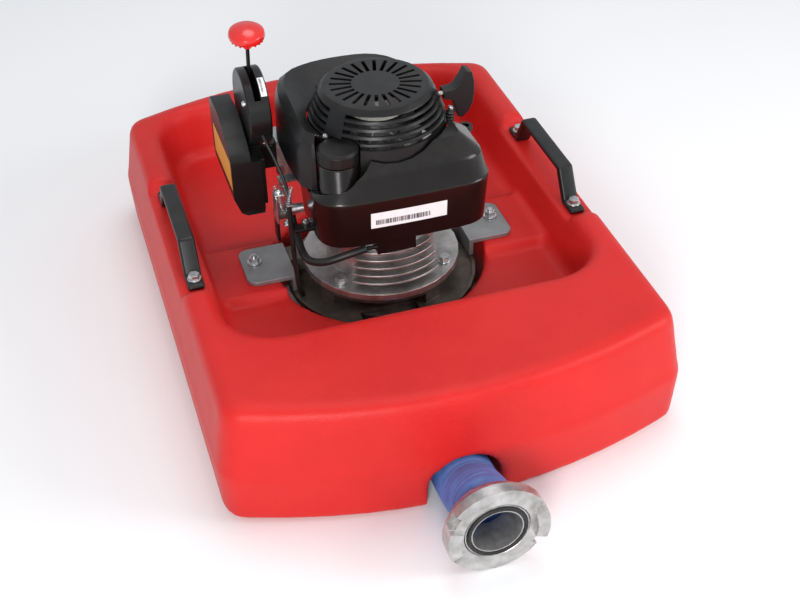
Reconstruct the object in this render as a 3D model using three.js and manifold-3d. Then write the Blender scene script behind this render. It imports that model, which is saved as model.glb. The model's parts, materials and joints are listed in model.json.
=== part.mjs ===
// Portable floating fire pump: a plastic float carries a small engine with a vertical shaft, and a
// centrifugal pump hangs below it in the float's well and delivers through a hose to a coupling.
// Millimetres, +Z up. -Y is the delivery side, +X is the operator's right when facing the coupling.
import * as THREE from 'three';
import { mergeVertices } from 'three/addons/utils/BufferGeometryUtils.js';
import Module from 'manifold-3d';

const wasm = await Module();
wasm.setup();

// ---- driving dimensions --------------------------------------------------------------------------
const gap = 0.3;                    // clearance between touching pieces
const degree = Math.PI / 180;

const float = {
  halfWidth: 300, halfLength: 416, height: 168.5,
  frontBow: 49,                     // how far the corners stand back from the middle of the front
  corner: 34,
};
const well = { halfWidth: 249, front: -225, back: 345, floor: 92, corner: 72 };
const pumpHole = { y: -12, radius: 147 };
const shelfTop = 103.7;
const channel = { x: -13, halfWidth: 46.5, top: 79.6 };
const saddle = { floor: 152, front: -96, back: 156 };

const axis = { x: 0, y: -24 };      // crankshaft and pump axis
const hose = { x: -14, radius: 37.5, bore: 31 };
const coupling = { x: -15, z: 62.3, face: -520, radius: 62, lug: 8 };
const handle = { x: 265, y: 30, footReach: 102, top: 201, width: 22 };
const bracket = { inner: 128, outer: 190, front: -42, back: 38, top: 110.3, thickness: 6.6 };
const flange = { bottom: 105, top: 115, radius: 108 };
const filler = { x: -70.5, y: -90, radius: 26.5 };
const recoil = { top: 372.6, slots: 24, slotInner: 31, slotOuter: 58.9 };
const louvre = { rows: 5, bottom: 325.5, pitch: 8.5, height: 5.2 };
const grip = { y: -33, z: 346.5 };
const throttle = { x: -146, y: 52, z: 325.5, radius: 52, halfWidth: 15 };
const lever = { y: 62, z: 329, tilt: 8.7, length: 96 };

const noseReach = -coupling.face + coupling.lug;
const centreShift = (noseReach - float.halfLength) / 2;   // puts the origin under the middle

// ---- materials -----------------------------------------------------------------------------------
const finish = (color, roughness, metalness) => ({ color, roughness, metalness });
const redPlastic = finish(0xd0211c, 0.45, 0);
const blackPlastic = finish(0x17181a, 0.45, 0);
const glossBlack = finish(0x141312, 0.25, 0);
const castAluminium = finish(0xb9bbbd, 0.4, 0.9);
const darkCasting = finish(0x4a4744, 0.6, 0.6);
const greySteel = finish(0x8b8d8f, 0.45, 0.8);
const zinc = finish(0xc6c8ca, 0.3, 1);
const steel = finish(0x9a9ca0, 0.35, 1);
const blackRubber = finish(0x101010, 0.8, 0);
const blueRubber = finish(0x3d5fae, 0.55, 0);
const redKnob = finish(0xd8201a, 0.35, 0);
const filterFoam = finish(0x2b2d30, 0.95, 0);
const rope = finish(0xd8d4c8, 0.9, 0);
const ceramic = finish(0xeeece4, 0.3, 0);

// ---- solids: geometry in, closed body out ----------------------------------------------------------
function toSolid(geometry) {
  const bare = geometry.clone();
  bare.deleteAttribute('normal');
  bare.deleteAttribute('uv');
  const merged = mergeVertices(bare, 1e-4);
  const source = Array.from(merged.index.array);
  const place = merged.attributes.position;
  const corner = (i) => new THREE.Vector3().fromBufferAttribute(place, i);
  const triangles = [];
  let volume = 0;
  for (let i = 0; i < source.length; i += 3) {
    const [a, b, c] = source.slice(i, i + 3);
    if (a === b || b === c || c === a) continue;
    triangles.push(a, b, c);
    volume += corner(a).dot(corner(b).cross(corner(c)));
  }
  if (volume < 0) {
    for (let i = 0; i < triangles.length; i += 3) {
      [triangles[i + 1], triangles[i + 2]] = [triangles[i + 2], triangles[i + 1]];
    }
  }
  return new wasm.Manifold(new wasm.Mesh({
    numProp: 3,
    vertProperties: new Float32Array(place.array),
    triVerts: new Uint32Array(triangles),
  }));
}

const join = (...solids) => solids.reduce((whole, next) => whole.add(next));
const cut = (body, ...tools) => tools.reduce((rest, tool) => rest.subtract(tool), body);
const v2 = (points) => points.map(([x, y]) => new THREE.Vector2(x, y));

function box(low, high) {
  const size = high.map((value, i) => value - low[i]);
  const geometry = new THREE.BoxGeometry(...size);
  geometry.translate(...low.map((value, i) => value + size[i] / 2));
  return toSolid(geometry);
}

// A prism of an outline in the plan, between two heights.
function prism(outline, low, high, curveSegments = 12) {
  const shape = outline instanceof THREE.Shape ? outline : new THREE.Shape(v2(outline));
  const geometry = new THREE.ExtrudeGeometry(shape,
    { depth: high - low, bevelEnabled: false, curveSegments });
  geometry.translate(0, 0, low);
  return toSolid(geometry);
}

// The same, with the outline drawn in the side view (y, z) and run from one x to another.
function sidePrism(outline, low, high, curveSegments = 12) {
  const shape = outline instanceof THREE.Shape ? outline : new THREE.Shape(v2(outline));
  const geometry = new THREE.ExtrudeGeometry(shape,
    { depth: high - low, bevelEnabled: false, curveSegments });
  const turn = new THREE.Matrix4().set(0, 0, 1, low, 1, 0, 0, 0, 0, 1, 0, 0, 0, 0, 0, 1);
  geometry.applyMatrix4(turn);
  return toSolid(geometry);
}

// The same, with the outline drawn in the front view (x, z) and run from one y to another.
function frontPrism(outline, low, high, curveSegments = 12) {
  const shape = outline instanceof THREE.Shape ? outline : new THREE.Shape(v2(outline));
  const geometry = new THREE.ExtrudeGeometry(shape,
    { depth: high - low, bevelEnabled: false, curveSegments });
  const turn = new THREE.Matrix4().set(1, 0, 0, 0, 0, 0, -1, high, 0, 1, 0, 0, 0, 0, 0, 1);
  geometry.applyMatrix4(turn);
  return toSolid(geometry);
}

// A turned body: profile pairs are (radius, distance along the axis); direction is 'z' or 'x'.
function turned(profile, centre, segments = 32, direction = 'z') {
  const geometry = new THREE.LatheGeometry(v2(profile), segments);
  if (direction === 'z') geometry.rotateX(Math.PI / 2);
  if (direction === 'x') geometry.rotateZ(-Math.PI / 2);
  geometry.translate(...centre);
  return toSolid(geometry);
}

const round = (radius, low, high, x = axis.x, y = axis.y, segments = 28) =>
  turned([[0, low], [radius, low], [radius, high], [0, high]], [x, y, 0], segments);

const tube = (outer, inner, low, high, x = axis.x, y = axis.y, segments = 28) =>
  turned([[inner, low], [outer, low], [outer, high], [inner, high], [inner, low]],
    [x, y, 0], segments);

// A ring sector in the plan, for slots, fins and lugs.
function sector(inner, outer, from, to, low, high, x = axis.x, y = axis.y, steps = 4) {
  const shape = new THREE.Shape();
  shape.absarc(0, 0, outer, from * degree, to * degree, false);
  shape.absarc(0, 0, inner, to * degree, from * degree, true);
  shape.closePath();
  const geometry = new THREE.ExtrudeGeometry(shape,
    { depth: high - low, bevelEnabled: false, curveSegments: steps });
  geometry.translate(x, y, low);
  return toSolid(geometry);
}

// A body lofted through closed rings that hold the same number of points.
function loft(rings) {
  const count = rings[0].length;
  const positions = rings.flat().flatMap((p) => [p.x, p.y, p.z]);
  const indices = [];
  for (let level = 0; level + 1 < rings.length; level += 1) {
    for (let i = 0; i < count; i += 1) {
      const a = level * count + i;
      const b = level * count + (i + 1) % count;
      indices.push(a, b, b + count, a, b + count, a + count);
    }
  }
  const cap = (level, flip) => {
    const flat = rings[level].map((p) => new THREE.Vector2(p.x, p.y));
    for (const [a, b, c] of THREE.ShapeUtils.triangulateShape(flat, [])) {
      const [i, j, k] = [a, b, c].map((value) => value + level * count);
      if (flip) indices.push(i, k, j);
      else indices.push(i, j, k);
    }
  };
  cap(0, true);
  cap(rings.length - 1, false);
  const geometry = new THREE.BufferGeometry();
  geometry.setAttribute('position', new THREE.Float32BufferAttribute(positions, 3));
  geometry.setIndex(indices);
  return toSolid(geometry);
}

// A round bar or hose along a smooth route.
function routed(points, radius, sides, steps, bore = 0) {
  const path = new THREE.CatmullRomCurve3(points.map((p) => new THREE.Vector3(...p)));
  const section = new THREE.Shape();
  section.absarc(0, 0, radius, 0, 2 * Math.PI);
  if (bore > 0) {
    const hole = new THREE.Path();
    hole.absarc(0, 0, bore, 0, 2 * Math.PI);
    section.holes.push(hole);
  }
  return toSolid(new THREE.ExtrudeGeometry(section,
    { steps, extrudePath: path, curveSegments: sides, bevelEnabled: false }));
}

function hexagon(acrossFlats, low, high, x, y) {
  const reach = acrossFlats / Math.sqrt(3);
  const corners = [0, 1, 2, 3, 4, 5].map((i) =>
    [x + reach * Math.cos(i * 60 * degree), y + reach * Math.sin(i * 60 * degree)]);
  return prism(corners, low, high);
}

// ---- the assembly --------------------------------------------------------------------------------
const assembly = new THREE.Group();
assembly.name = 'portable_fire_pump';
assembly.position.y = centreShift;

function add(name, body, look) {
  const mesh = body.getMesh();
  const geometry = new THREE.BufferGeometry();
  geometry.setAttribute('position',
    new THREE.BufferAttribute(new Float32Array(mesh.vertProperties), 3));
  geometry.setIndex(new THREE.BufferAttribute(new Uint32Array(mesh.triVerts), 1));
  geometry.computeVertexNormals();
  const piece = new THREE.Mesh(geometry, new THREE.MeshStandardMaterial(look));
  piece.name = name;
  assembly.add(piece);
}

// ---- float ---------------------------------------------------------------------------------------
// Plan outline of the float, drawn in by an inset: the ends are bowed and the corners are round.
function floatRing(inset, z) {
  const halfWidth = float.halfWidth - inset;
  const halfLength = float.halfLength - inset;
  const corner = Math.max(float.corner - inset * 0.4, 12);
  const cornerY = halfLength - float.frontBow;
  const quarter = [];
  const cornerSteps = 4;
  for (let i = 0; i <= cornerSteps; i += 1) {
    const angle = (i / cornerSteps) * 80 * degree;
    quarter.push([halfWidth - corner + corner * Math.cos(angle),
      cornerY - corner + corner * Math.sin(angle)]);
  }
  const [startX, startY] = quarter[quarter.length - 1];
  const bowSteps = 6;
  for (let i = 1; i < bowSteps; i += 1) {
    const t = i / bowSteps;
    quarter.push([startX * (1 - t), halfLength - (halfLength - startY) * (1 - t) ** 2]);
  }
  const half = [...quarter, [0, halfLength],
    ...quarter.slice().reverse().map(([x, y]) => [-x, y])];
  const whole = [...half, ...half.slice().reverse().map(([x, y]) => [x, -y])];
  return whole.map(([x, y]) => new THREE.Vector3(x, y, z));
}

// Plan outline of the well, a rounded rectangle grown by an offset.
function wellRing(offset, z) {
  const corner = well.corner + offset;
  const right = well.halfWidth + offset;
  const steps = 5;
  const points = [];
  const centres = [[right - corner, well.back + offset - corner, 0],
    [-right + corner, well.back + offset - corner, 90],
    [-right + corner, well.front - offset + corner, 180],
    [right - corner, well.front - offset + corner, 270]];
  for (const [x, y, start] of centres) {
    for (let i = 0; i <= steps; i += 1) {
      const angle = (start + 90 * i / steps) * degree;
      points.push(new THREE.Vector3(x + corner * Math.cos(angle), y + corner * Math.sin(angle), z));
    }
  }
  return points;
}

function floatHull() {
  const skin = loft([floatRing(14, 0), floatRing(4, 9), floatRing(0, 79), floatRing(2, 84),
    floatRing(13, 156), floatRing(17, 164), floatRing(27, float.height)]);
  const tub = loft([wellRing(-26, well.floor), wellRing(-16, well.floor + 7),
    wellRing(-4, 152), wellRing(0, 162), wellRing(9, float.height + 1)]);
  const shelf = (side) => box([side < 0 ? -250 : 120, -60, 60], [side < 0 ? -120 : 250, 60, shelfTop]);
  const wellSpace = cut(tub, shelf(-1), shelf(1));
  const hole = round(pumpHole.radius, -1, 130, 0, pumpHole.y, 40);
  const arch = new THREE.Shape();
  const spring = channel.top - channel.halfWidth;
  arch.moveTo(channel.x - channel.halfWidth, -1);
  arch.lineTo(channel.x + channel.halfWidth, -1);
  arch.absarc(channel.x, spring, channel.halfWidth, 0, Math.PI, false);
  arch.closePath();
  const hoseWay = frontPrism(arch, -430, pumpHole.y - 60, 10);
  const saddleCut = (side) => {
    const low = side < 0 ? -310 : 236;
    return sidePrism([[saddle.front, saddle.floor], [saddle.back, saddle.floor],
      [saddle.back + 16, 175], [saddle.front - 16, 175]], low, low + 74);
  };
  return cut(skin, wellSpace, hole, hoseWay, saddleCut(-1), saddleCut(1));
}

// ---- mounting and carrying -----------------------------------------------------------------------
function mountBracket(side) {
  const low = bracket.top - bracket.thickness;
  const radius = 14;
  const { inner, outer, front, back } = bracket;
  const plate = new THREE.Shape();
  plate.moveTo(inner, front);
  plate.lineTo(outer - radius, front);
  plate.absarc(outer - radius, front + radius, radius, -Math.PI / 2, 0, false);
  plate.absarc(outer - radius, back - radius, radius, 0, Math.PI / 2, false);
  plate.lineTo(inner, back);
  plate.closePath();
  const leg = box([inner - 4, front, 84], [inner + 2.6, back, bracket.top]);
  const whole = join(prism(plate, low, bracket.top, 5), leg);
  return side > 0 ? whole : whole.mirror([1, 0, 0]);
}

function lockNut(x, y, base) {
  return join(round(10, base, base + 1.8, x, y, 16), hexagon(13, base + 1.5, base + 8.5, x, y),
    round(4, base + 8, base + 12.5, x, y, 12));
}

function flangeBolt(x, y, base) {
  return join(round(9.3, base, base + 2, x, y, 16), hexagon(13, base + 1.8, base + 8, x, y));
}

function carryHandle(side) {
  const foot = saddle.floor + gap;
  const footTop = foot + 7.7;
  const bottomOfBar = handle.top - 9;
  const mirrored = [[118, foot], [118, footTop], [93, footTop], [68, handle.top]];
  const underside = [[60, bottomOfBar], [84, foot]];
  const half = [...mirrored];
  const outline = [...half, ...half.slice().reverse().map(([y, z]) => [-y, z]),
    ...underside.slice().reverse().map(([y, z]) => [-y, z]), ...underside];
  const shifted = outline.map(([y, z]) => [y + handle.y, z]);
  const low = side * handle.x - handle.width / 2;
  return sidePrism(shifted, low, low + handle.width);
}

// ---- pump ----------------------------------------------------------------------------------------
const casing = { bottom: 22, top: 72.7, wall: 6 };
const outlet = { x: hose.x, z: 40, radius: 28.5, bore: 25, end: -146 };
const lantern = { bottom: 73, top: flange.bottom - gap };
const shaft = { pump: 9, engine: 12.5 };

// Scroll outline whose radius grows once round the axis.
function scroll(startRadius, endRadius) {
  const steps = 30;
  const points = [];
  for (let i = 0; i <= steps; i += 1) {
    const angle = (-60 + 345 * i / steps) * degree;
    const radius = startRadius + (endRadius - startRadius) * i / steps;
    points.push([axis.x + radius * Math.cos(angle), axis.y + radius * Math.sin(angle)]);
  }
  return points;
}

function volute() {
  const branch = turned([[0, 0], [outlet.radius, 0], [outlet.radius, 76], [0, 76]],
    [0, 0, 0], 20);
  const lay = (solid) => solid.rotate([90, 0, 0]).translate([outlet.x, -70, outlet.z]);
  const way = turned([[0, -30], [outlet.bore, -30], [outlet.bore, 90], [0, 90]], [0, 0, 0], 20);
  const shell = join(prism(scroll(78, 100), casing.bottom, casing.top), lay(branch));
  const shaftHole = round(18.4, 60, 80);
  const coverSeat = round(84.5, 10, casing.bottom - 0.1);
  return cut(shell, prism(scroll(72, 93), casing.bottom - 8, casing.top - casing.wall),
    lay(way), shaftHole, coverSeat);
}

function suctionCover() {
  return turned([[34, 8], [40, 8], [40, 13.7], [84, 13.7], [84, 21.7], [37, 21.7], [37, 25.5],
    [34, 25.5], [34, 8]], [axis.x, axis.y, 0], 24);
}

function strainer() {
  let basket = turned([[0, 1.5], [78, 1.5], [82, 5], [82, 13.4], [79, 13.4], [79, 6], [76, 4.2],
    [0, 4.2]], [axis.x, axis.y, 0], 24);
  const slotCount = 12;
  for (let i = 0; i < slotCount; i += 1) {
    const angle = 360 / slotCount * i;
    const slot = box([26, -3, -5], [70, 3, 9]).rotate([0, 0, angle]).translate([axis.x, axis.y, 0]);
    basket = cut(basket, slot);
  }
  return basket;
}

function impeller() {
  const disc = turned([[shaft.pump + gap, 56], [66, 59], [66, 62], [20, 64], [17, 65.5],
    [shaft.pump + gap, 65.5], [shaft.pump + gap, 56]], [axis.x, axis.y, 0], 24);
  const shroud = turned([[33, 28], [37, 28], [66, 34], [66, 37], [36, 31], [33, 28]],
    [axis.x, axis.y, 0], 24);
  const hub = tube(16, shaft.pump + gap, 34, 58);
  let wheel = join(disc, shroud, hub);
  const vanes = 6;
  for (let i = 0; i < vanes; i += 1) {
    wheel = join(wheel, prism(vaneOutline(60 * i), 31, 58));
  }
  const below = turned([[35, 26], [80, 26], [80, 36.8], [66, 34], [37, 28], [35, 28], [35, 26]],
    [axis.x, axis.y, 0], 24);
  return cut(wheel, below);
}

// One backward-curved vane: a strip that winds outwards while its radius grows.
function vaneOutline(start) {
  const steps = 4;
  const edge = (lead) => {
    const points = [];
    for (let i = 0; i <= steps; i += 1) {
      const radius = 34.5 + 30 * i / steps;
      const angle = (start + lead * 36 / radius - 70 * i / steps) * degree;
      points.push([axis.x + radius * Math.cos(angle), axis.y + radius * Math.sin(angle)]);
    }
    return points;
  };
  return [...edge(0), ...edge(5).reverse()];
}

function pumpLantern() {
  const { bottom, top } = lantern;
  let frame = join(tube(104, 58, top - 7, top), tube(132, 58, bottom, bottom + 6),
    tube(132, 127, bottom, bottom + 9));
  const pillars = 4;
  for (let i = 0; i < pillars; i += 1) {
    const pillar = box([80, -13, bottom + 1], [101, 13, top - 1]);
    frame = join(frame, pillar.rotate([0, 0, 90 * i + 27]).translate([axis.x, axis.y, 0]));
  }
  const lug = box([96, 2, 84], [bracket.inner - 4 - gap, 34, top]);
  const web = box([60, 2, top - 8], [100, 34, top]);
  frame = join(frame, lug, lug.mirror([1, 0, 0]), web, web.mirror([1, 0, 0]));
  const hoseNotch = box([hose.x - 42, -170, bottom - 3], [hose.x + 37, -108, bottom + 12]);
  return cut(frame, round(57.9, 60, 110), hoseNotch);
}

const hoseRoute = [[hose.x, outlet.end + 19, outlet.z], [hose.x, -160, 39.3], [hose.x, -230, 38.3],
  [hose.x, -330, 38.5], [hose.x, -405, 38.8], [hose.x - 0.3, -434, 43.5], [coupling.x, -457, 55],
  [coupling.x, -472, 61.5], [coupling.x, -481, coupling.z], [coupling.x, -491, coupling.z]];

function hoseClamp() {
  const inner = hose.radius + 0.8;
  const outer = inner + 1.1;
  const band = turned([[inner, 0], [outer, 0], [outer, 12], [inner, 12], [inner, 0]],
    [0, 0, 0], 24);
  const screw = box([outer - 0.8, -5, 1], [outer + 8, 12, 11]);
  return join(band, screw).rotate([90, 0, 0]).translate([hose.x, outlet.end + 17, outlet.z - 0.1]);
}

// ---- coupling ------------------------------------------------------------------------------------
// Profiles of the coupling are (radius, distance in front of the hose end), turned about its axis.
function onCoupling(profile, segments = 26) {
  const geometry = new THREE.LatheGeometry(v2(profile), segments);
  geometry.rotateX(Math.PI);
  geometry.translate(coupling.x, -476, coupling.z);
  return toSolid(geometry);
}

function couplingTail() {
  return onCoupling([[26, 6], [29.2, 6], [29.2, 20], [46, 20], [46, 28], [39.3, 28], [39.3, 43.6],
    [37.6, 43.6], [37.6, 31], [32.1, 31], [32.1, 45], [30.6, 45], [26.5, 20], [26, 6]]);
}

function couplingRing() {
  const outer = coupling.radius;
  const ring = onCoupling([[39.8, 28.6], [46.6, 28.6], [46.6, 15], [50, 15], [outer, 30],
    [outer, 44], [40.8, 44], [39.8, 43], [39.8, 28.6]]);
  const across = (solid) => solid.rotate([90, 0, 0]).translate([coupling.x, -476, coupling.z]);
  const lug = (start) => across(sector(47, outer, start, start + 42, 40, 44 + coupling.lug, 0, 0, 5));
  const notch = (start) => across(sector(54, outer + 3, start, start + 16, 34, 60, 0, 0, 3));
  return cut(join(ring, lug(160), lug(340)), notch(143), notch(323));
}

// ---- engine --------------------------------------------------------------------------------------
function engineBase() {
  let body = join(round(flange.radius, flange.bottom, flange.top),
    turned([[0, 112], [76, 112], [72, 178], [0, 178]], [axis.x, axis.y, 0], 32));
  const fins = 5;
  for (let i = 0; i < fins; i += 1) {
    const bottom = 122 + 10 * i;
    body = join(body, sector(60, 97 - 3.2 * i, 230, 308, bottom, bottom + 3.4, axis.x, axis.y, 5));
  }
  const oilNeck = round(12, 112, 134, 84, 10, 16);
  const sump = turned([[0, 111], [58, 111], [62, 180], [0, 180]], [axis.x, axis.y, 0], 24);
  return cut(join(body, oilNeck), sump, round(shaft.engine + gap, 90, 130),
    round(9, 118, 140, 84, 10, 12));
}

const crankTop = 256;
function crankcase() {
  const body = join(round(68, 178 + gap, crankTop), box([-48, 0, 184], [48, 56, 250]),
    tube(20, shaft.engine + gap, crankTop - 4, 268), box([-94, 0, 226], [-50, 16, 232]));
  const inside = round(58, 170, 246);
  const mouth = box([-34, 20, 188], [34, 60, 240]);
  return cut(body, inside, mouth, round(shaft.engine + gap, 230, 280));
}

function cylinderBlock() {
  let block = box([-42, 56 + gap, 188], [42, 128, 250]);
  const fins = 5;
  for (let i = 0; i < fins; i += 1) {
    block = join(block, box([-50, 66 + 13 * i, 182], [50, 71 + 13 * i, 258]));
  }
  const bore = turned([[0, 0], [32, 0], [32, 58], [0, 58]], [0, 0, 0], 24);
  return cut(block, bore.rotate([-90, 0, 0]).translate([0, 50, 216]));
}

function plugBody() {
  return turned([[0, 0], [6, 0], [6, 6], [10, 6], [10, 14], [5, 15], [5, 26], [0, 26]],
    [50 + gap, 96, 232], 12, 'x');
}

function plugCap() {
  const sleeve = turned([[5.4, 17], [9, 17], [9, 30], [0, 32], [0, 27], [5.4, 27], [5.4, 17]],
    [50 + gap, 96, 232], 12, 'x');
  return join(sleeve, box([77, 91, 222], [85, 101, 236]));
}

function muffler() {
  const outline = [[22, 186], [30, 178], [104, 178], [112, 186], [112, 212], [104, 220],
    [30, 220], [22, 212]];
  const drum = sidePrism(outline, 58, 112);
  const pipe = turned([[0, 0], [9, 0], [9, 26], [0, 26]], [104, 100, 199], 12, 'x');
  const mouth = turned([[0, 6], [7, 6], [7, 40], [0, 40]], [104, 100, 199], 12, 'x');
  return cut(join(drum, pipe), mouth);
}

// ---- covers over the flywheel --------------------------------------------------------------------
const ringBottom = 262;
const ringTop = 290;

// Shoulder of the fan cover, sweeping back and left over the cylinder.
function shoulderRing(inset, z) {
  const curve = new THREE.CatmullRomCurve3([[-88, -92], [-112, -80], [-118, -44], [-119, 4],
    [-115, 60], [-100, 100], [-66, 118], [-14, 124], [38, 115], [68, 88], [82, 40], [86, 0],
    [60, -40], [0, -60]].map(([x, y]) => new THREE.Vector3(x, y, 0)), true);
  const count = 40;
  const points = curve.getSpacedPoints(count).slice(0, count).reverse();
  const centre = new THREE.Vector3(-20, 12, 0);
  return points.map((p) => {
    const out = p.clone().sub(centre);
    out.setLength(out.length() - inset);
    return new THREE.Vector3(centre.x + out.x, centre.y + out.y, z);
  });
}

// From its top edge the shoulder falls inwards to a circle close round the recoil housing.
function shoulderLip(inset, radius, z) {
  return shoulderRing(inset, z).map((p) => {
    const out = new THREE.Vector2(p.x - axis.x, p.y - axis.y);
    out.clampLength(0, radius);
    return new THREE.Vector3(axis.x + out.x, axis.y + out.y, z);
  });
}

function fanCover() {
  const shoulder = loft([shoulderRing(-1, 272), shoulderRing(0, 318), shoulderRing(5, 336),
    shoulderRing(15, 345), shoulderLip(17, 87, 330)]);
  const hollow = loft([shoulderRing(3, 262), shoulderRing(3.2, 316), shoulderRing(8, 333),
    shoulderRing(18, 341.5), shoulderLip(19, 91.5, 325.5)]);
  const skirt = tube(95, 91, ringBottom, ringTop - gap, axis.x, axis.y, 32);
  const shell = cut(shoulder, hollow);
  const housingWay = turned([[0, ringTop - 0.1], [93.2, ringTop - 0.1], [90.4, 333], [75, 368],
    [75, 400], [0, 400]], [axis.x, axis.y, 0], 32);
  const fanWay = round(91, 240, ringTop, axis.x, axis.y, 32);
  const capWay = round(filler.radius + 2, 250, 400, filler.x, filler.y, 24);
  const boss = box([-60, 36, 272.5], [-46, 50, 343]);
  return cut(join(shell, skirt, boss), housingWay, fanWay, capWay);
}

function recoilHousing() {
  const outer = turned([[0, ringTop], [92, ringTop], [89, 332], [74, 366], [68, recoil.top - 1],
    [62, recoil.top], [0, recoil.top]], [axis.x, axis.y, 0], 32);
  const inner = turned([[0, 280], [89, 280], [86, 331], [71.5, 364], [66, 369.5], [0, 369.5]],
    [axis.x, axis.y, 0], 24);
  const capOuter = round(filler.radius + 2.2, 250, 336, filler.x, filler.y, 24);
  const capInner = round(filler.radius + 5.2, 250, 339, filler.x, filler.y, 24);
  const shell = cut(outer, capOuter, cut(inner, capInner));
  const post = round(8, 334, 371);
  const tools = [];
  for (let i = 0; i < recoil.slots; i += 1) {
    const half = 2.4;
    const slot = box([recoil.slotInner, -half, 366], [recoil.slotOuter, half, 380]);
    tools.push(slot.rotate([0, 0, 360 / recoil.slots * i]).translate([axis.x, axis.y, 0]));
  }
  for (let i = 0; i < louvre.rows; i += 1) {
    const low = louvre.bottom + louvre.pitch * i;
    const high = low + louvre.height;
    tools.push(sector(60, 99, 223, 335, low, high, axis.x, axis.y, 6));
    tools.push(sector(60, 99, 166, 204, low, high, axis.x, axis.y, 3));
  }
  const ropeWay = turned([[0, 0], [5, 0], [5, 60], [0, 60]], [60, grip.y, grip.z], 12, 'x');
  return cut(join(shell, post), ropeWay, ...tools);
}

function flywheelFan() {
  const bore = shaft.engine + gap;
  let wheel = turned([[bore, 288], [60, 288], [60, 292], [28, 292], [28, 310], [bore, 310],
    [bore, 288]], [axis.x, axis.y, 0], 24);
  const blades = 8;
  for (let i = 0; i < blades; i += 1) {
    const blade = box([30, -1.2, 291], [59, 1.2, 314]).rotate([0, 0, 18])
      .rotate([0, 0, 360 / blades * i]).translate([axis.x, axis.y, 0]);
    wheel = join(wheel, blade);
  }
  return join(wheel, tube(28, 24, 309, 328, axis.x, axis.y, 24));
}

function recoilPulley() {
  return turned([[8.4, 334.5], [39, 334.5], [39, 337.5], [30, 337.5], [30, 349.5], [39, 349.5],
    [39, 352], [8.4, 352], [8.4, 334.5]], [axis.x, axis.y, 0], 28);
}

// Flat spiral spring between the pulley and the housing top.
function recoilSpring() {
  const turns = 3;
  const steps = 45;
  const strip = 1.4;
  const edge = (offset) => {
    const points = [];
    for (let i = 0; i <= steps; i += 1) {
      const angle = 2 * Math.PI * turns * i / steps;
      const radius = 12 + 22 * i / steps + offset;
      points.push([axis.x + radius * Math.cos(angle), axis.y + radius * Math.sin(angle)]);
    }
    return points;
  };
  return prism([...edge(strip / 2), ...edge(-strip / 2).reverse()], 353.5, 363.5);
}

function starterGrip() {
  const outline = [[86, 341], [98, 338], [103, 324], [105, 313], [111, 310], [120, 318],
    [126, 330], [127.5, 346], [127, 362], [124, 374], [116, 377], [110, 366], [103, 355.5],
    [98, 353], [86, 352]];
  const body = frontPrism(outline, grip.y - 9, grip.y + 9);
  const eye = turned([[0, 0], [3.3, 0], [3.3, 18.3], [0, 18.3]], [80, grip.y, grip.z], 10, 'x');
  return cut(body, eye);
}

// ---- fuel ----------------------------------------------------------------------------------------
function tankRing(inset, z) {
  const shape = new THREE.Shape();
  shape.moveTo(118, -30);
  shape.lineTo(-109, -30);
  shape.lineTo(-109, -90);
  shape.quadraticCurveTo(-109, -131, -68, -134.5);
  shape.quadraticCurveTo(8, -139, 84, -136);
  shape.quadraticCurveTo(124, -134, 124, -98);
  shape.lineTo(123, -42);
  const outline = shape.getPoints(7);
  const centre = [7, -82];
  const half = [116, 55];
  return outline.map(({ x, y }) => new THREE.Vector3(
    centre[0] + (x - centre[0]) * (1 - inset / half[0]),
    centre[1] + (y - centre[1]) * (1 - inset / half[1]), z));
}

function roundRing(x, y, radius, z, count = 24) {
  return Array.from({ length: count }, (_, i) => {
    const angle = 2 * Math.PI * i / count;
    return new THREE.Vector3(x + radius * Math.cos(angle), y + radius * Math.sin(angle), z);
  });
}

// The filler stands as a tower at the front left corner; the tank's shoulder is scooped away round it.
function fuelTank() {
  const shape = loft([tankRing(14, 196), tankRing(4, 204), tankRing(0.5, 262), tankRing(0, 265),
    tankRing(0, 269), tankRing(1.8, 271), tankRing(9, 299), tankRing(13, 303), tankRing(35, 323)]);
  const inside = loft([tankRing(17, 199.5), tankRing(7.5, 206), tankRing(4, 262),
    tankRing(5, 271), tankRing(15, 299.5), tankRing(38, 319.5)]);
  const sump = box([-33, -126, 181], [19, -84, 202]);
  const shoulderWay = (room, low) => loft([shoulderRing(-room, low), shoulderRing(-room, 350)]);
  const engineSide = join(round(97, 257, 291, axis.x, axis.y, 32),
    round(93.6, 290.9, 400, axis.x, axis.y, 32),
    round(76, 150, 257.1, axis.x, axis.y, 32), shoulderWay(2.5, 268));
  const inner = join(round(100.2, 253.8, 400, axis.x, axis.y, 32),
    round(79.2, 150, 254, axis.x, axis.y, 32), shoulderWay(6, 264));
  const scoop = (room) => turned([[0, 272 - room], [36 + room, 272 - room], [39 + room, 300],
    [46 + room, 330], [0, 330]], [filler.x, filler.y, 0], 32);
  const tower = join(round(26, 255, 311, filler.x, filler.y, 24),
    loft([roundRing(-74, -106, 25, 262), roundRing(-73, -101, 25.5, 284),
      roundRing(filler.x, filler.y, 26, 309)]));
  const throat = round(19, 240, 320, filler.x, filler.y, 20);
  const ear = join(round(10, 281, 287, 121, -26, 16), box([106, -42, 281], [116, -24, 287]));
  const spigot = turned([[0, 0], [3, 0], [3, 16], [0, 16]], [-44, -114, 185], 10, 'x');
  const body = cut(join(shape, sump), engineSide, scoop(0));
  const shell = join(cut(body, cut(inside, inner, scoop(3.2))), tower, cut(ear, engineSide), spigot);
  return cut(shell, throat, round(5.5, 275, 295, 121, -26, 12));
}

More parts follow.
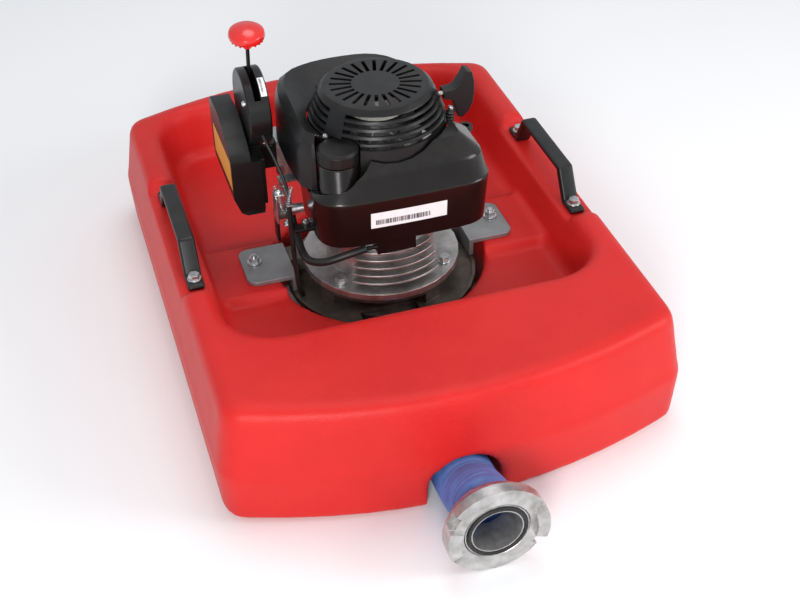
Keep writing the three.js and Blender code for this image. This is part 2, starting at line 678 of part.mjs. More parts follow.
function fuelCap() {
  const skirt = filler.radius;
  const knurls = 12;
  let cap = turned([[0, 300], [16, 300], [16, 311 + gap], [skirt - 1.5, 311 + gap],
    [skirt, 313], [skirt, 327], [skirt - 3, 330], [0, 330]], [filler.x, filler.y, 0], 24);
  for (let i = 0; i < knurls; i += 1) {
    const groove = round(2.2, 310, 326, skirt + 1.2, 0, 6);
    cap = cut(cap, groove.rotate([0, 0, 360 / knurls * i]).translate([filler.x, filler.y, 0]));
  }
  return cap;
}

// ---- carburettor and controls ----------------------------------------------------------------------
function carburettor() {
  const body = box([-118, 58, 222], [-82, 98, 261]);
  const bowl = round(17, 200, 224, -100, 78, 16);
  const pipe = turned([[0, 0], [16, 0], [16, 31.2], [0, 31.2]], [-82.5, 78, 236], 16, 'x');
  const throat = turned([[0, -2], [11, -2], [11, 80], [0, 80]], [-118, 78, 240], 16, 'x');
  return cut(join(body, bowl, pipe), throat);
}

function pivotArm(pivot, low, thickness, towards, width) {
  const [x, y] = pivot;
  const [endX, endY] = towards;
  const angle = Math.atan2(endY - y, endX - x) / degree;
  const length = Math.hypot(endX - x, endY - y);
  const plate = join(box([0, -width / 2, low], [length, width / 2, low + thickness]),
    round(width / 2 + 1.5, low, low + thickness, 0, 0, 14),
    round(width / 2, low, low + thickness, length, 0, 12));
  return plate.rotate([0, 0, angle]).translate([x, y, 0]);
}

const airCleanerTop = 272;
function airCleanerCover() {
  const underside = [[0, 200], [7, 187], [20, 180], [104, 196], [126, 230]];
  const upper = [...underside, [128, 300], [118, 312], [66, 315], [22, 296], [5, 285], [0, 272]];
  const lower = [...underside, [127, airCleanerTop], [0, airCleanerTop]];
  const shell = join(sidePrism(upper, -191, -164), sidePrism(lower, -191, -150));
  const chin = frontPrism([[-200, 232], [-191, 220], [-182, 195], [-163, 178], [-200, 178]],
    -10, 140);
  const room = box([-187, 8, 216], [-149, 118, airCleanerTop - 2.5]);
  return cut(shell, chin, room);
}

function airCleanerBase() {
  const plate = box([-149.7, 4, 203], [-145, 122, airCleanerTop]);
  const duct = box([-146, 58, 222], [-118 - gap, 98, 260]);
  const throat = turned([[0, 0], [12, 0], [12, 60], [0, 60]], [-160, 78, 240], 16, 'x');
  return cut(join(plate, duct), throat);
}

const leverSlot = [[54, 316], [70, 316], [70, 392], [-14, 392], [-14, 376]];
function throttleBox() {
  const low = throttle.x - throttle.halfWidth;
  const high = throttle.x + throttle.halfWidth;
  const disc = turned([[0, 0], [throttle.radius - 2, 0], [throttle.radius, 2],
    [throttle.radius, 28], [throttle.radius - 2, 30], [0, 30]],
    [low, throttle.y, throttle.z], 36, 'x');
  const foot = box([low, 34, airCleanerTop + gap], [high, 84, 300]);
  const slot = sidePrism(leverSlot, throttle.x - 4.2, throttle.x + 4.2);
  const boss = turned([[0, 0], [9, 0], [9, 8.4], [0, 8.4]],
    [throttle.x - 4.2, lever.y, lever.z], 16, 'x');
  const bore = turned([[0, 0], [3.3, 0], [3.3, 19], [0, 19]],
    [throttle.x - 9.5, lever.y, lever.z], 12, 'x');
  const cableWay = box([throttle.x - 3, -4, 307.5], [throttle.x + 3, 4, 313.5]);
  return cut(join(disc, foot), slot, boss, bore, cableWay);
}

const leverTurn = (solid) => solid.rotate([lever.tilt, 0, 0])
  .translate([throttle.x, lever.y, lever.z]);

function throttleLever() {
  const rod = round(2.6, 0, lever.length, 0, 0, 10);
  const boss = turned([[0, -3.4], [7.5, -3.4], [7.5, 3.4], [0, 3.4]], [0, 0, 0], 16, 'x');
  const pin = turned([[0, -9], [3, -9], [3, 9], [0, 9]], [0, 0, 0], 12, 'x');
  return leverTurn(join(rod, boss, pin));
}

function throttleKnob() {
  const bore = 2.6 + gap;
  const rodEnd = lever.length + gap;
  return leverTurn(turned([[bore, 84], [6, 84], [6, 94], [13, 96], [22, 98.5], [23.5, 102.5],
    [22.5, 108], [15, 113], [0, 115], [0, rodEnd], [bore, rodEnd], [bore, 84]], [0, 0, 0], 28));
}

const tap = { y: -22, z: 202 };
function controlBracket() {
  const plate = box([-129, -56, 188], [-126.5, 0, 240]);
  const arm = box([-129, 0, 232 + gap], [-96, 16, 235]);
  const corner = box([-129, -6, 226], [-126.5, 4, 235]);
  const clip = box([-135, -66, 238], [-126.5, -55, 240]);
  const stop = turned([[0, 0], [6.5, 0], [6.5, 17], [0, 17]], [-126.6, -46, 221], 12, 'x');
  const tapWay = turned([[0, 0], [5.3, 0], [5.3, 10], [0, 10]], [-132, tap.y, tap.z], 14, 'x');
  return cut(join(plate, arm, corner, clip, stop), tapWay);
}

function fuelTap() {
  return turned([[0, 0], [9, 0], [9, 9.7], [5, 9.7], [5, 25], [0, 25]],
    [-139, tap.y, tap.z], 14, 'x');
}

function fuelTapLever() {
  const hub = turned([[0, 0], [8, 0], [8, 3.7], [0, 3.7]], [-143, tap.y, tap.z], 14, 'x');
  return join(box([-143, tap.y - 9, tap.z - 38], [-139 - gap, tap.y + 7, tap.z - 2]), hub);
}

const cableRoute = [[throttle.x, -1.5, 310.5], [throttle.x + 2, -9, 304], [-138, -20, 288],
  [-131, -36, 264], [-128.2, -48, 250], [-127.7, -50, 240.8]];
const hoseToTap = [[-45, -114, 185], [-72, -113, 180], [-98, -106, 171], [-114, -90, 165],
  [-118.5, -70, 164], [-119, -50, 168], [-120, -34, 178], [-121, -24, 196]];
const drainRoute = [[-131, -60.5, 237.5], [-131, -61, 225], [-131, -62, 205],
  [-130, -64, 160], [-127.5, -64, 118], [-124, -58, 98], [-118.5, -48, lantern.bottom + 9]];

// ---- pieces --------------------------------------------------------------------------------------
add('float_hull', floatHull(), redPlastic);
for (const [side, word] of [[-1, 'left'], [1, 'right']]) {
  add(`bracket_${word}`, mountBracket(side), greySteel);
  add(`bracket_nut_${word}`, lockNut(side * 172, 5, bracket.top + gap), zinc);
  add(`handle_${word}`, carryHandle(side), blackPlastic);
  for (const [end, place] of [[-1, 'front'], [1, 'rear']]) {
    const y = handle.y + end * handle.footReach;
    add(`handle_bolt_${word}_${place}`,
      flangeBolt(side * handle.x, y, saddle.floor + 8 + gap), zinc);
  }
}

add('pump_lantern', pumpLantern(), darkCasting);
add('volute_casing', volute(), darkCasting);
add('suction_cover', suctionCover(), darkCasting);
add('strainer', strainer(), steel);
add('shaft_seal', tube(18, shaft.pump + gap, 66, 80), blackRubber);
add('impeller', impeller(), castAluminium);
add('delivery_hose', routed(hoseRoute, hose.radius, 8, 16, hose.bore), blueRubber);
add('hose_clamp', hoseClamp(), zinc);
add('coupling_tail', couplingTail(), castAluminium);
add('coupling_seal', onCoupling([[32.5, 31 + gap], [37.2, 31 + gap], [37.2, 46], [35, 47],
  [32.5, 46], [32.5, 31 + gap]]), blackRubber);
add('coupling_ring', couplingRing(), castAluminium);

add('engine_base', engineBase(), castAluminium);
add('crankcase', crankcase(), castAluminium);
add('cylinder', cylinderBlock(), castAluminium);
add('head_cover', box([-40, 128 + gap, 192], [40, 148, 246]), castAluminium);
add('spark_plug', plugBody(), ceramic);
add('spark_plug_cap', plugCap(), blackRubber);
add('muffler', muffler(), steel);
add('crankshaft', turned([[0, 32], [shaft.pump, 32], [shaft.pump, 108], [shaft.engine, 109],
  [shaft.engine, 318], [0, 318]], [axis.x, axis.y, 0], 24), steel);
for (const [index, angle] of [-38, -142, 96].entries()) {
  add(`flange_bolt_${index + 1}`, flangeBolt(axis.x + 93 * Math.cos(angle * degree),
    axis.y + 93 * Math.sin(angle * degree), flange.top + gap), zinc);
}
add('oil_cap', join(round(8.4, 122, 135, 84, 10, 14), round(14, 134 + gap, 145, 84, 10, 16)),
  blackPlastic);

add('fan_cover', fanCover(), blackPlastic);
add('recoil_housing', recoilHousing(), blackPlastic);
add('flywheel_fan', flywheelFan(), castAluminium);
add('recoil_pulley', recoilPulley(), blackPlastic);
add('rope_coil', tube(37.5, 30.4, 338.2, 348.8, axis.x, axis.y, 24), rope);
add('recoil_spring', recoilSpring(), steel);
add('starter_rope', turned([[0, 0], [2.5, 0], [2.5, 20], [0, 20]], [78, grip.y, grip.z], 10, 'x'),
  rope);
add('starter_grip', starterGrip(), blackPlastic);

add('fuel_tank', fuelTank(), glossBlack);
add('fuel_cap', fuelCap(), blackPlastic);
add('fuel_hose', routed(hoseToTap, 5.2, 4, 18), blackRubber);
add('fuel_tap', fuelTap(), darkCasting);
add('fuel_tap_lever', fuelTapLever(), greySteel);

add('carburettor', carburettor(), castAluminium);
add('throttle_arm', join(pivotArm([-100, 78], 266, 3, [-100, 50], 9),
  round(3, 261 + gap, 267, -100, 78, 10)), zinc);
add('governor_arm', join(pivotArm([-84, 8], 256, 3, [-84, 44], 9),
  round(3, 232 + gap, 257, -84, 8, 10)), zinc);
add('control_bracket', controlBracket(), zinc);
add('air_cleaner_base', airCleanerBase(), blackPlastic);
add('air_filter', box([-186, 12, 219], [-151, 114, 267]), filterFoam);
add('air_cleaner_cover', airCleanerCover(), blackPlastic);
add('throttle_box', throttleBox(), blackPlastic);
add('throttle_lever', throttleLever(), blackPlastic);
add('throttle_knob', throttleKnob(), redKnob);
add('throttle_cable', routed(cableRoute, 2, 4, 14), blackRubber);
add('drain_tube', routed(drainRoute, 3.3, 4, 14), blackRubber);

const group = new THREE.Group();
group.add(assembly);
export default group;
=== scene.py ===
# %% [markdown]
# # A floating fire pump
# A red plastic float carries a small petrol engine with an upright shaft, and a pump hangs under the
# engine in the float's hole. Water leaves through a blue hose and a lugged aluminium coupling at the
# front. The imported CAD model gives every place and size, and this file gives each piece its surface.
# The first cell loads that model and keeps its nodes and its record.
# %% Load the imported model
import json
import math
import bmesh
import bpy
from mathutils import Matrix, Vector
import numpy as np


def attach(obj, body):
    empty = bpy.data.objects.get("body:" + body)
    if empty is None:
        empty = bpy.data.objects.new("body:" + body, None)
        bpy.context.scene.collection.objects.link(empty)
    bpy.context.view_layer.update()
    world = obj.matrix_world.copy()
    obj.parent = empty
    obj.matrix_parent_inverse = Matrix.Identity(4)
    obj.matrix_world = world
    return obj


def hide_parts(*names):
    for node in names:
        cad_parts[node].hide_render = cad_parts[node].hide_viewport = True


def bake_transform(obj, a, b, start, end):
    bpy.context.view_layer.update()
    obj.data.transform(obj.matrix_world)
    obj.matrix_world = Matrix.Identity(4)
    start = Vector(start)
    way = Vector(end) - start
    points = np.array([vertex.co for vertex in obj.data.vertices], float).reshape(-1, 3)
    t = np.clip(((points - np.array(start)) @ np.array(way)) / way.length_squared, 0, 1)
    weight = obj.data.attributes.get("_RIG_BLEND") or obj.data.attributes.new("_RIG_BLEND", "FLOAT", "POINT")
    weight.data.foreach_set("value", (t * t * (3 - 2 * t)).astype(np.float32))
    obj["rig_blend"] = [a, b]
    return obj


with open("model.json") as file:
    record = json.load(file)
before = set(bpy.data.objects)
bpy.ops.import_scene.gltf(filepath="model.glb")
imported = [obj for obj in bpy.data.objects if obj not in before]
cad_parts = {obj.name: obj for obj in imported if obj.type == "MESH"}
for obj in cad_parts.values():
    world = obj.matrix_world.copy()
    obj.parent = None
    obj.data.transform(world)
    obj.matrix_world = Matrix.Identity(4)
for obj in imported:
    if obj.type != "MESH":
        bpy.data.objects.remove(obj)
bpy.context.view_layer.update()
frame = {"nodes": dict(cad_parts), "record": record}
nodes = frame["nodes"]
scene = bpy.context.scene

# %% [markdown]
# The camera stands in front and to the left, a little over a metre above the float, and looks down on
# it. A camera's own axes are right, up and backwards, so its matrix is built from the line of sight, and
# the small roll is a turn about that line. The lens shift slides the frame a little without turning it.
# %% Camera
def aim_camera(place, target, lens, roll_degrees, shift):
    data = bpy.data.cameras.new("camera")
    data.lens = lens
    data.sensor_width = 36
    data.shift_x, data.shift_y = shift
    camera = bpy.data.objects.new("camera", data)
    scene.collection.objects.link(camera)
    ahead = (Vector(target) - Vector(place)).normalized()
    right = ahead.cross(Vector((0, 0, 1))).normalized()
    up = right.cross(ahead)
    roll = math.radians(roll_degrees)
    rolled_right = right * math.cos(roll) + up * math.sin(roll)
    rolled_up = up * math.cos(roll) - right * math.sin(roll)
    camera.matrix_world = Matrix((rolled_right, rolled_up, -ahead)).transposed().to_4x4()
    camera.location = place
    scene.camera = camera
    return camera

camera_place = (-0.4268, -1.4532, 1.2334)
camera_target = (-0.06577, -0.24962, 0.25056)
aim_camera(camera_place, camera_target, lens=62.1, roll_degrees=-1.36, shift=(0.0067, -0.002))
scene.view_settings.view_transform = "Standard"
print("camera lens", scene.camera.data.lens)

# %% [markdown]
# ## Lines that are swept
# Cables, hoses, springs and small rods are all a circle swept along a line. `smooth_line` puts points on
# a Catmull-Rom curve through a few given ones. The Geometry Nodes tree `swept_tube` turns those points
# into a curve and runs a circle along it. Its inputs are the radius, the number of sides and the
# material, so one tree serves every cord and every bent rod.
# %% Smooth line and swept tube
def smooth_line(points, steps=12):
    points = [Vector(p) for p in points]
    padded = [2 * points[0] - points[1], *points, 2 * points[-1] - points[-2]]
    line = []
    for before, start, end, after in zip(padded, padded[1:], padded[2:], padded[3:]):
        for step in range(steps):
            t = step / steps
            line.append(0.5 * (2 * start + (end - before) * t
                               + (2 * before - 5 * start + 4 * end - after) * t ** 2
                               + (3 * start - before - 3 * end + after) * t ** 3))
    return [*line, points[-1]]

def new_tree(name, inputs):
    tree = bpy.data.node_groups.new(name, "GeometryNodeTree")
    tree.interface.new_socket("Geometry", in_out="INPUT", socket_type="NodeSocketGeometry")
    for label, kind, value in inputs:
        socket = tree.interface.new_socket(label, in_out="INPUT", socket_type="NodeSocket" + kind)
        if value is not None:
            socket.default_value = value
    tree.interface.new_socket("Geometry", in_out="OUTPUT", socket_type="NodeSocketGeometry")
    return tree, tree.nodes.new("NodeGroupInput"), tree.nodes.new("NodeGroupOutput")

swept_tube, given, result = new_tree("swept_tube", [
    ("Radius", "Float", 0.002), ("Sides", "Int", 16), ("Material", "Material", None)])
line = swept_tube.nodes.new("GeometryNodeMeshToCurve")
circle = swept_tube.nodes.new("GeometryNodeCurvePrimitiveCircle")
skin = swept_tube.nodes.new("GeometryNodeCurveToMesh")
skin.inputs["Fill Caps"].default_value = True
real = swept_tube.nodes.new("GeometryNodeRealizeInstances")
dressed = swept_tube.nodes.new("GeometryNodeSetMaterial")
for source, target in (
    (given.outputs["Geometry"], line.inputs["Mesh"]),
    (given.outputs["Radius"], circle.inputs["Radius"]),
    (given.outputs["Sides"], circle.inputs["Resolution"]),
    (line.outputs["Curve"], skin.inputs["Curve"]),
    (circle.outputs["Curve"], skin.inputs["Profile Curve"]),
    (skin.outputs["Mesh"], real.inputs["Geometry"]),
    (real.outputs["Geometry"], dressed.inputs["Geometry"]),
    (given.outputs["Material"], dressed.inputs["Material"]),
    (dressed.outputs["Geometry"], result.inputs["Geometry"]),
):
    swept_tube.links.new(source, target)

def grown(name, mesh, tree, values):
    """The plain mesh that a Geometry Nodes tree makes of another, with the named inputs set."""
    carrier = bpy.data.objects.new(name + "_carrier", mesh)
    scene.collection.objects.link(carrier)
    modifier = carrier.modifiers.new("grow", "NODES")
    modifier.node_group = tree
    for item in tree.interface.items_tree:
        if item.in_out == "INPUT" and item.name in values:
            modifier[item.identifier] = values[item.name]
    graph = bpy.context.evaluated_depsgraph_get()
    graph.update()
    made = bpy.data.meshes.new_from_object(carrier.evaluated_get(graph), depsgraph=graph)
    made.name = name
    made.shade_smooth()
    made.set_sharp_from_angle(angle=math.radians(45))
    bpy.data.objects.remove(carrier)
    return made

def tube_mesh(name, line, radius, sides=16, material=None):
    mesh = bpy.data.meshes.new(name + "_line")
    mesh.from_pydata(line, [(i, i + 1) for i in range(len(line) - 1)], [])
    values = {"Radius": radius, "Sides": sides}
    if material:
        values["Material"] = material
    return grown(name, mesh, swept_tube, values)

print("swept_tube has", len(swept_tube.nodes), "nodes")

# %% [markdown]
# The three free cords are the throttle cable, the fuel hose from the tank to the tap and a thin drain
# tube. Each prints its length, which is measured along its own line. They get their rubber finish
# further down, once the finishes exist.
# %% Cords
def length_of(line):
    return sum((b - a).length for a, b in zip(line, line[1:]))

def new_cord(node, points, diameter):
    line = smooth_line(points)
    cord = bpy.data.objects.new(node + "_shape", tube_mesh(node, line, diameter / 2))
    scene.collection.objects.link(cord)
    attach(cord, "base")
    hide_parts(node)
    print(node, "is", round(length_of(line) * 1000), "mm long")
    return cord

cords = [
    new_cord("throttle_cable", [
        (-0.146, 0.0545, 0.3105), (-0.144, 0.047, 0.304), (-0.138, 0.036, 0.288),
        (-0.131, 0.020, 0.264), (-0.1282, 0.008, 0.250), (-0.1277, 0.006, 0.2408)], 0.004),
    new_cord("fuel_hose", [
        (-0.045, -0.058, 0.185), (-0.072, -0.057, 0.180), (-0.098, -0.050, 0.171),
        (-0.114, -0.034, 0.165), (-0.1185, -0.014, 0.164), (-0.119, 0.006, 0.168),
        (-0.120, 0.022, 0.178), (-0.121, 0.032, 0.196)], 0.0104),
    new_cord("drain_tube", [
        (-0.131, -0.0045, 0.2375), (-0.131, -0.005, 0.225), (-0.131, -0.006, 0.205),
        (-0.130, -0.008, 0.160), (-0.1275, -0.008, 0.118), (-0.124, -0.002, 0.098),
        (-0.1185, 0.008, 0.0795)], 0.0066),
]

# %% [markdown]
# ## Shared effects
# Four small shader groups are built once and placed in each finish with its own values: a mottled
# colour, a height for the grain, a mask of fine scratches, and a mask of the dust that settles on faces
# that look up. Every group reads Object coordinates, which are metres in the model's own frame.
# %% Group helpers
def new_group(name, inputs, outputs):
    group = bpy.data.node_groups.new(name, "ShaderNodeTree")
    for label, kind, value in inputs:
        socket = group.interface.new_socket(label, in_out="INPUT", socket_type="NodeSocket" + kind)
        socket.default_value = value
    for label, kind in outputs:
        group.interface.new_socket(label, in_out="OUTPUT", socket_type="NodeSocket" + kind)
    return group, group.nodes.new("NodeGroupInput"), group.nodes.new("NodeGroupOutput")

def put(tree, kind, **settings):
    node = tree.nodes.new(kind)
    for key, value in settings.items():
        setattr(node, key, value)
    return node

def join_up(tree, *pairs):
    for source, target in pairs:
        tree.links.new(source, target)

print("group helpers ready")

# %% Mottled colour
mottle, given, result = new_group(
    "mottle",
    [("Scale", "Float", 20.0), ("Dark", "Color", (0, 0, 0, 1)), ("Light", "Color", (1, 1, 1, 1))],
    [("Color", "Color")],
)
place = put(mottle, "ShaderNodeTexCoord")
clouds = put(mottle, "ShaderNodeTexNoise")
clouds.inputs["Detail"].default_value = 4
clouds.inputs["Roughness"].default_value = 0.6
spread = put(mottle, "ShaderNodeMapRange")
spread.inputs["From Min"].default_value = 0.3
spread.inputs["From Max"].default_value = 0.7
blend = put(mottle, "ShaderNodeMix", data_type="RGBA")
join_up(
    mottle,
    (place.outputs["Object"], clouds.inputs["Vector"]),
    (given.outputs["Scale"], clouds.inputs["Scale"]),
    (clouds.outputs["Fac"], spread.inputs["Value"]),
    (spread.outputs["Result"], blend.inputs["Factor"]),
    (given.outputs["Dark"], blend.inputs[6]),
    (given.outputs["Light"], blend.inputs[7]),
    (blend.outputs[2], result.inputs["Color"]),
)
print("mottle group", len(mottle.nodes), "nodes")

# %% Grain height
grain, given, result = new_group(
    "grain",
    [("Fine Scale", "Float", 900.0), ("Broad Scale", "Float", 15.0), ("Broad Share", "Float", 0.5)],
    [("Height", "Float")],
)
place = put(grain, "ShaderNodeTexCoord")
fine = put(grain, "ShaderNodeTexNoise")
fine.inputs["Detail"].default_value = 2
broad = put(grain, "ShaderNodeTexNoise")
broad.inputs["Detail"].default_value = 1
height = put(grain, "ShaderNodeMix", data_type="FLOAT")
join_up(
    grain,
    (place.outputs["Object"], fine.inputs["Vector"]),
    (place.outputs["Object"], broad.inputs["Vector"]),
    (given.outputs["Fine Scale"], fine.inputs["Scale"]),
    (given.outputs["Broad Scale"], broad.inputs["Scale"]),
    (given.outputs["Broad Share"], height.inputs["Factor"]),
    (fine.outputs["Fac"], height.inputs[2]),
    (broad.outputs["Fac"], height.inputs[3]),
    (height.outputs[0], result.inputs["Height"]),
)
print("grain group", len(grain.nodes), "nodes")

# %% Scratches and settled dust
scuffs, given, result = new_group(
    "scuffs",
    [("Stretch", "Vector", (30, 30, 400)), ("Amount", "Float", 0.2)],
    [("Mask", "Float")],
)
place = put(scuffs, "ShaderNodeTexCoord")
squeeze = put(scuffs, "ShaderNodeVectorMath", operation="MULTIPLY")
lines = put(scuffs, "ShaderNodeTexNoise")
lines.inputs["Scale"].default_value = 1
lines.inputs["Detail"].default_value = 3
edge = put(scuffs, "ShaderNodeMapRange")
edge.inputs["From Min"].default_value = 0.56
edge.inputs["From Max"].default_value = 0.72
scaled = put(scuffs, "ShaderNodeMath", operation="MULTIPLY")
join_up(
    scuffs,
    (place.outputs["Object"], squeeze.inputs[0]),
    (given.outputs["Stretch"], squeeze.inputs[1]),
    (squeeze.outputs["Vector"], lines.inputs["Vector"]),
    (lines.outputs["Fac"], edge.inputs["Value"]),
    (edge.outputs["Result"], scaled.inputs[0]),
    (given.outputs["Amount"], scaled.inputs[1]),
    (scaled.outputs["Value"], result.inputs["Mask"]),
)

dust, given, result = new_group(
    "dust", [("Amount", "Float", 0.2), ("Scale", "Float", 40.0)], [("Mask", "Float")]
)
place = put(dust, "ShaderNodeTexCoord")
facing = put(dust, "ShaderNodeNewGeometry")
split = put(dust, "ShaderNodeSeparateXYZ")
specks = put(dust, "ShaderNodeTexNoise")
specks.inputs["Detail"].default_value = 5
upward = put(dust, "ShaderNodeMapRange")
upward.inputs["From Min"].default_value = 0.3
patchy = put(dust, "ShaderNodeMath", operation="MULTIPLY")
amount = put(dust, "ShaderNodeMath", operation="MULTIPLY")
join_up(
    dust,
    (facing.outputs["Normal"], split.inputs["Vector"]),
    (split.outputs["Z"], upward.inputs["Value"]),
    (place.outputs["Object"], specks.inputs["Vector"]),
    (given.outputs["Scale"], specks.inputs["Scale"]),
    (upward.outputs["Result"], patchy.inputs[0]),
    (specks.outputs["Fac"], patchy.inputs[1]),
    (patchy.outputs["Value"], amount.inputs[0]),
    (given.outputs["Amount"], amount.inputs[1]),
    (amount.outputs["Value"], result.inputs["Mask"]),
)
print("scuff and dust groups ready")

# %% [markdown]
# ## Finishes
# One function lays out a finish: mottled colour with dust over it, roughness that rises in the scratches
# and dust, and a bump from the grain. Each material then gets its own numbers, taken from how that
# plastic, rubber or metal is made. What is the same all over a surface is set on the shader itself.
# %% A finish from the shared groups
def make_finish(name, dark, light, rough, metallic=0.0, mottle_scale=20.0, fine=900.0, broad=15.0,
                broad_share=0.5, depth=0.0002, stretch=(30, 30, 400), scratched=0.15, dusty=0.1,
                dust_color=(0.5, 0.47, 0.43), specular=0.5, coat=0.0):
    material = bpy.data.materials.new(name)
    material.use_nodes = True
    tree = material.node_tree
    shader = tree.nodes["Principled BSDF"]
    shader.inputs["Metallic"].default_value = metallic
    shader.inputs["Specular IOR Level"].default_value = specular
    shader.inputs["Coat Weight"].default_value = coat
    shader.inputs["Coat Roughness"].default_value = 0.12
    colour = put(tree, "ShaderNodeGroup", node_tree=mottle)
    colour.inputs["Scale"].default_value = mottle_scale
    colour.inputs["Dark"].default_value = (*dark, 1)
    colour.inputs["Light"].default_value = (*light, 1)
    settled = put(tree, "ShaderNodeGroup", node_tree=dust)
    settled.inputs["Amount"].default_value = dusty
    scratches = put(tree, "ShaderNodeGroup", node_tree=scuffs)
    scratches.inputs["Stretch"].default_value = stretch
    scratches.inputs["Amount"].default_value = scratched
    surface = put(tree, "ShaderNodeGroup", node_tree=grain)
    surface.inputs["Fine Scale"].default_value = fine
    surface.inputs["Broad Scale"].default_value = broad
    surface.inputs["Broad Share"].default_value = broad_share
    powder = put(tree, "ShaderNodeMix", data_type="RGBA")
    powder.inputs[7].default_value = (*dust_color, 1)
    worn = put(tree, "ShaderNodeMath", operation="ADD")
    roughness = put(tree, "ShaderNodeMapRange")
    roughness.inputs["To Min"].default_value = rough[0]
    roughness.inputs["To Max"].default_value = rough[1]
    bump = put(tree, "ShaderNodeBump")
    bump.inputs["Distance"].default_value = depth
    join_up(
        tree,
        (settled.outputs["Mask"], powder.inputs["Factor"]),
        (colour.outputs["Color"], powder.inputs[6]),
        (powder.outputs[2], shader.inputs["Base Color"]),
        (settled.outputs["Mask"], worn.inputs[0]),
        (scratches.outputs["Mask"], worn.inputs[1]),
        (worn.outputs["Value"], roughness.inputs["Value"]),
        (roughness.outputs["Result"], shader.inputs["Roughness"]),
        (surface.outputs["Height"], bump.inputs["Height"]),
        (bump.outputs["Normal"], shader.inputs["Normal"]),
    )
    return material

print("finish builder ready")

# %% Plastics and rubbers
float_red = make_finish("float_red_polyethylene", (0.55, 0.012, 0.011), (0.64, 0.017, 0.014),
                        (0.42, 0.66), mottle_scale=6, fine=700, broad=14, broad_share=0.82,
                        depth=0.0022, scratched=0.25, dusty=0.03, dust_color=(0.7, 0.2, 0.18),
                        specular=0.26)
satin_black = make_finish("satin_black_moulding", (0.0035, 0.0035, 0.004), (0.0065, 0.0065, 0.007),
                          (0.34, 0.7), fine=1400, broad=60, broad_share=0.25, depth=0.00012,
                          scratched=0.3, dusty=0.045, specular=0.34)
tank_black = make_finish("tank_gloss_black", (0.0045, 0.0035, 0.003), (0.008, 0.006, 0.005),
                         (0.24, 0.6), fine=900, broad=24, broad_share=0.7, depth=0.00025,
                         scratched=0.07, dusty=0.04, specular=0.36, coat=0.12)
soft_rubber = make_finish("black_rubber", (0.006, 0.006, 0.006), (0.012, 0.012, 0.012),
                          (0.42, 0.8), fine=1600, depth=0.0001, dusty=0.06, specular=0.4)
knob_red = make_finish("knob_gloss_red", (0.62, 0.008, 0.006), (0.72, 0.014, 0.010),
                       (0.22, 0.5), mottle_scale=40, fine=500, depth=0.00006, dusty=0.05, coat=0.3)
print("plastics and rubbers", [m.name for m in bpy.data.materials][-5:])

# %% Metals
die_cast = make_finish("die_cast_aluminium", (0.34, 0.33, 0.32), (0.66, 0.65, 0.64), (0.36, 0.66),
                       metallic=0.92, mottle_scale=45, fine=420, broad=110, broad_share=0.4,
                       depth=0.0005, stretch=(90, 90, 90), scratched=0.5, dusty=0.2,
                       dust_color=(0.28, 0.25, 0.22))
weathered_casting = make_finish("weathered_casting", (0.045, 0.038, 0.032), (0.17, 0.15, 0.13),
                                (0.42, 0.8), metallic=0.55, mottle_scale=28, fine=300, broad=60,
                                depth=0.0007, scratched=0.4, dusty=0.4,
                                dust_color=(0.2, 0.15, 0.11))
grey_plate = make_finish("grey_plate", (0.20, 0.205, 0.21), (0.30, 0.305, 0.31), (0.38, 0.7),
                         metallic=0.6, mottle_scale=24, fine=600, depth=0.0002, scratched=0.35)
bright_zinc = make_finish("bright_zinc", (0.46, 0.47, 0.50), (0.72, 0.72, 0.71), (0.3, 0.56),
                          metallic=0.95, mottle_scale=160, fine=900, depth=0.00008, scratched=0.3)
bare_steel = make_finish("bare_steel", (0.28, 0.27, 0.26), (0.45, 0.44, 0.43), (0.3, 0.65),
                         metallic=1.0, mottle_scale=50, fine=700, depth=0.0002,
                         stretch=(400, 400, 40), scratched=0.5)
filter_foam = make_finish("filter_foam", (0.01, 0.01, 0.012), (0.05, 0.05, 0.055), (0.8, 1.0),
                          fine=450, broad=300, depth=0.002)
plug_ceramic = make_finish("plug_ceramic", (0.68, 0.66, 0.6), (0.82, 0.8, 0.75), (0.12, 0.3),
                           fine=500, depth=0.00003)
braided_rope = make_finish("braided_rope", (0.45, 0.42, 0.36), (0.72, 0.69, 0.62), (0.75, 0.95),
                           mottle_scale=700, fine=1200, broad=600, depth=0.0006)
hose_blue = make_finish("blue_hose_rubber", (0.045, 0.11, 0.34), (0.075, 0.17, 0.46), (0.4, 0.7),
                        mottle_scale=60, fine=900, broad=120, broad_share=0.4, depth=0.0003,
                        scratched=0.4, dusty=0.12, dust_color=(0.45, 0.5, 0.6))
for cord in cords:
    cord.data.materials.clear()
    cord.data.materials.append(soft_rubber)
print("metals and the rest ready")

# %% [markdown]
# The record names a finish for every CAD node, so each node first gets the matching material. The inner
# pieces, such as the crankshaft, keep their CAD shape, and the ones that show are rebuilt further down.
# %% A material for every CAD node
finish_of_slot = {
    "red_plastic": float_red, "black_plastic": satin_black, "gloss_black": tank_black,
    "cast_aluminium": die_cast, "dark_casting": weathered_casting, "grey_steel": grey_plate,
    "zinc": bright_zinc, "steel": bare_steel, "black_rubber": soft_rubber,
    "blue_rubber": hose_blue, "red_knob": knob_red, "filter_foam": filter_foam,
    "rope": braided_rope, "ceramic": plug_ceramic,
}
slot_of_node = {entry["node"]: entry["material_slot"] for entry in frame["record"]["subparts"]}
body_of_node = {
    node: body for body, members in frame["record"]["behaviour"]["bodies"].items() for node in members
}
for name, cad in nodes.items():
    cad.data.materials.clear()
    cad.data.materials.append(finish_of_slot[slot_of_node[name]])
print(len(nodes), "CAD nodes dressed")

